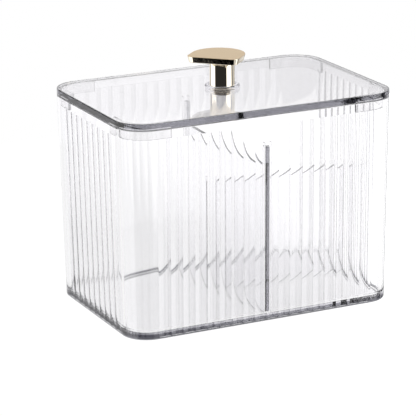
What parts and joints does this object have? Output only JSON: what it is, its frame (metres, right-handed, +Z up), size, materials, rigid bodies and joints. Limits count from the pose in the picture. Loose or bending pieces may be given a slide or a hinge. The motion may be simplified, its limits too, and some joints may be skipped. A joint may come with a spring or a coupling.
{
  "type": "cotton bud organizer",
  "caption": "Clear fluted storage box with a lift-off lid, a gold knob, and slide-in panels that part it into compartments.",
  "frame": {"origin": "middle of the base, on the surface that the box stands on", "axes": "+X along the long side towards the end with two compartments, -Y out of the front, +Z up"},
  "size_m": [0.135, 0.09, 0.115],
  "materials": {
    "clear_box": "clear polished moulding, faint grey-lavender tint",
    "clear_divider": "clear polished sheet",
    "gold_satin": "satin champagne gold plating",
    "gold_mirror": "mirror gold plating",
    "zinc_screw": "zinc plated"
  },
  "bodies": {
    "box": {"box_body": "clear_box"},
    "lid": {"lid": "clear_box", "knob_cap": "gold_satin", "knob_stem": "gold_mirror", "knob_collar": "clear_divider", "knob_screw": "zinc_screw"},
    "main_divider": {"main_divider": "clear_divider"},
    "cross_divider": {"cross_divider": "clear_divider"}
  },
  "joints": [
    {"name": "lid_lift", "type": "slide", "parent": "box", "child": "lid", "axis": [0, 0, 1], "range_m": [0, 0.06]},
    {"name": "main_divider_slide", "type": "slide", "parent": "box", "child": "main_divider", "axis": [0, 0, 1], "range_m": [0, 0.012]},
    {"name": "cross_divider_slide", "type": "slide", "parent": "box", "child": "cross_divider", "axis": [0, 0, 1], "range_m": [0, 0.038]}
  ]
}
